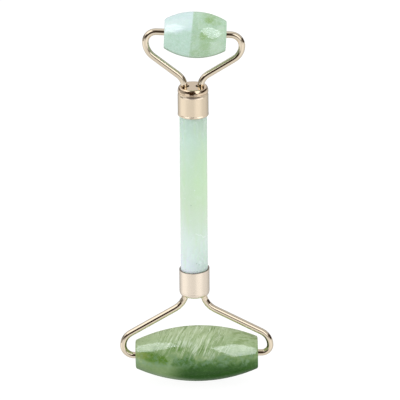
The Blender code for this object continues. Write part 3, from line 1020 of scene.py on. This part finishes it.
# outlines as (azimuth, elevation) in degrees
BOX_RIGHT = [(12.5, 42), (28, 51), (45, 55), (58, 51), (60, 36), (54, 17), (42, 4), (26, 1)]
BOX_LEFT = [(-27, 51), (-36, 58), (-59, 64), (-89, 60), (-100, 46), (-80, 30), (-58, 25),
            (-46, 27), (-36, 40)]
TABLE_GLOW = [(-78, -9), (-40, -9), (0, -9), (40, -9), (78, -9),
              (78, 3), (40, 3), (0, 3), (-40, 3), (-78, 3)]
# brightness by azimuth: the table round the object, brighter to the front right and far left
TABLE = [(-180, .34), (-150, .46), (-128, .66), (-97, 1.0), (-67, .98), (-45, .82), (-19, .80),
         (3, .80), (25, .98), (49, .97), (75, .78), (106, .72), (140, .50), (180, .34)]
# walls: dark gap in front, mid grey behind, bright left side
WALLS = [(-180, .62), (-130, .75), (-105, .95), (-75, .70), (-58, .30), (-48, .16), (-10, .10),
         (-6, .05), (6, .05), (12, .10), (45, .18), (60, .28), (90, .48), (130, .60), (180, .62)]


def window(value, low, high, soft):
    """1 between low and high, with edges that take soft degrees to fall off."""
    return (step(value, low - soft / 2, low + soft / 2)
            * step(value, high + soft / 2, high - soft / 2))


def inside(azimuth, elevation, corners, soft=2.5):
    """1 inside a convex outline of (azimuth, elevation) corners."""
    middle_x = sum(corner[0] for corner in corners) / len(corners)
    middle_y = sum(corner[1] for corner in corners) / len(corners)
    edges = []
    for (x, y), (next_x, next_y) in zip(corners, corners[1:] + corners[:1]):
        normal_x, normal_y = y - next_y, next_x - x
        size = math.hypot(normal_x, normal_y)
        normal_x, normal_y = normal_x / size, normal_y / size
        if (middle_x - x) * normal_x + (middle_y - y) * normal_y < 0:
            normal_x, normal_y = -normal_x, -normal_y
        offset = -(x * normal_x + y * normal_y)
        distance = mul_add(azimuth, normal_x, mul_add(elevation, normal_y, offset))
        edges.append(step(distance, -soft / 2, soft / 2))
    return reduce(mul, edges)


def reflected_studio(azimuth, elevation):
    """Colour of the studio as glossy rays see it."""
    heading = (azimuth + 180.0) / 360.0
    table, walls = (ramp(heading, placed([(place, grey(value)) for place, value in rows],
                                         -180.0, 360.0)) for rows in (TABLE, WALLS))
    low = lerp(step(elevation, -28.0, -54.0), table, 0.70)
    high = lerp(step(elevation, 55.0, 82.0), walls, 0.80)
    level = lerp(step(elevation, -8.0, 2.0), low, high)
    # dark strip along the horizon, reaching lower in front
    strip = either(window(azimuth, -60.0, 14.0, 6.0), window(azimuth, 62.0, 124.0, 6.0))
    strip = strip * window(elevation, -2.0, 20.0, 3.0)
    below = either(window(azimuth, -27.0, 8.0, 8.0), window(azimuth, 8.0, 34.0, 8.0) * 0.55)
    strip = either(strip, below * window(elevation, -14.0, 1.0, 2.5))
    left = window(azimuth, -110.0, -60.0, 6.0) * window(elevation, -13.0, 18.0, 3.0)
    rear = either(step(azimuth, 118.0, 130.0), step(azimuth, -104.0, -116.0))
    rear = rear * window(elevation, -6.0, 14.0, 4.0)
    for mask, loss in ((strip, 0.975), (left, 0.62), (rear, 0.80)):
        level = level * mul_add(mask, -loss, 1.0)
    boxes = either(inside(azimuth, elevation, BOX_LEFT), inside(azimuth, elevation, BOX_RIGHT))
    level = lerp(boxes, level, METAL_LIGHT)
    # what is dark is warm brown, what is bright is white
    colour = ramp(level, [(0.0, (0.030, 0.013, 0.004)), (0.12, (0.125, 0.112, 0.098)),
                          (0.45, grey(0.45)), (1.0, grey(1.0))])
    excess = either(level, 1.0)
    return vector_calc("MULTIPLY", colour, vector(excess, excess, excess))


def build_world():
    world = bpy.data.worlds.new("studio")
    scene.world = world
    world.use_nodes = True
    world.cycles.sampling_method = "NONE"
    build_in(world.node_tree)
    tree.nodes.clear()
    direction = node("TexCoord", output="Generated")
    x, y, z = map(Field, add_node("SeparateXYZ", {0: direction}).outputs)
    height = calc("MINIMUM", calc("MAXIMUM", z, -1.0), 1.0)
    elevation = calc("ARCSINE", height) * (180 / math.pi)
    azimuth = calc("ARCTAN2", x, y * -1.0) * (180 / math.pi)
    reflected = node("Background", {0: reflected_studio(azimuth, elevation), 1: 1.0})
    # for diffuse light the studio is a large, nearly even dome
    dome = ramp((elevation + 90.0) / 180.0, [(0.0, grey(0.86)), (0.42, grey(0.90)),
                                             (0.60, grey(1.0)), (1.0, grey(1.0))])
    diffuse = node("Background", {0: dome, 1: 1.08})
    # the camera sees plain white
    white = node("Background", {0: (1, 1, 1, 1), 1: 1.0})
    rays = add_node("LightPath").outputs
    lit = node("MixShader", {0: Field(rays["Is Diffuse Ray"]), 1: reflected, 2: diffuse})
    seen = node("MixShader", {0: Field(rays["Is Camera Ray"]), 1: lit, 2: white})
    add_node("OutputWorld", {"Surface": seen})


build_world()


def group(name, members):
    """A collection that a panel can be linked to."""
    made = bpy.data.collections.new(name)
    for member in members:
        made.objects.link(bpy.data.objects[member])
    return made


def light_panel(name, corners, radiance, distance, receivers):
    """A panel reflected by its receivers only; other rays pass through it."""
    points = []
    for azimuth, elevation in corners:
        a, e = math.radians(azimuth), math.radians(elevation)
        towards = Vector((math.sin(a) * math.cos(e), -math.cos(a) * math.cos(e), math.sin(e)))
        points.append(towards * distance)
    middle = sum(points, Vector()) / len(points)
    count = len(points)
    mesh = bpy.data.meshes.new(name)
    mesh.from_pydata([tuple(point) for point in points] + [tuple(middle)], [],
                     [(i, (i + 1) % count, count) for i in range(count)])
    material = bpy.data.materials.new(name)
    material.use_nodes = True
    build_in(material.node_tree)
    tree.nodes.clear()
    glow = node("Emission", {"Color": (0.93, 0.96, 1.07, 1.0), "Strength": radiance})
    both = node("AddShader", {0: glow, 1: node("BsdfTransparent")})
    add_node("OutputMaterial", {"Surface": both})
    mesh.materials.append(material)
    made = link_object(name, mesh)
    made.visible_camera = False
    made.visible_diffuse = False
    made.visible_shadow = False
    made.light_linking.receiver_collection = receivers


STONES = group("stones", ("handle_polished_stone", "small_roller_polished_stone",
                          "large_roller_polished_stone"))
TUBES = group("tubes", ("upper_ferrule_tube", "lower_ferrule_tube"))
light_panel("softbox_left", BOX_LEFT, radiance=STONE_LIGHT * 0.82, distance=1.7,
            receivers=STONES)
light_panel("softbox_right", BOX_RIGHT, radiance=STONE_LIGHT, distance=1.7, receivers=STONES)
light_panel("table_glow", TABLE_GLOW, radiance=0.62, distance=1.6, receivers=TUBES)


# =====================================================================
# camera
# =====================================================================
def build_camera():
    lens = bpy.data.cameras.new("camera")
    camera = bpy.data.objects.new("camera", lens)
    scene.collection.objects.link(camera)
    scene.camera = camera
    lens.sensor_width = 36.0
    lens.lens = 295.4
    lens.clip_start, lens.clip_end = 0.01, 50.0
    aim, distance = Vector((0.002249, 0.0, 0.0)), 1.2      # metres
    roll = math.radians(-0.39)
    back = Vector((0.0, -math.cos(VIEW_ELEVATION), math.sin(VIEW_ELEVATION)))
    camera.location = aim + back * distance
    camera.rotation_mode = "QUATERNION"
    facing = (-back).to_track_quat("-Z", "Y")
    camera.rotation_quaternion = facing @ Quaternion((0.0, 0.0, 1.0), roll)


build_camera()
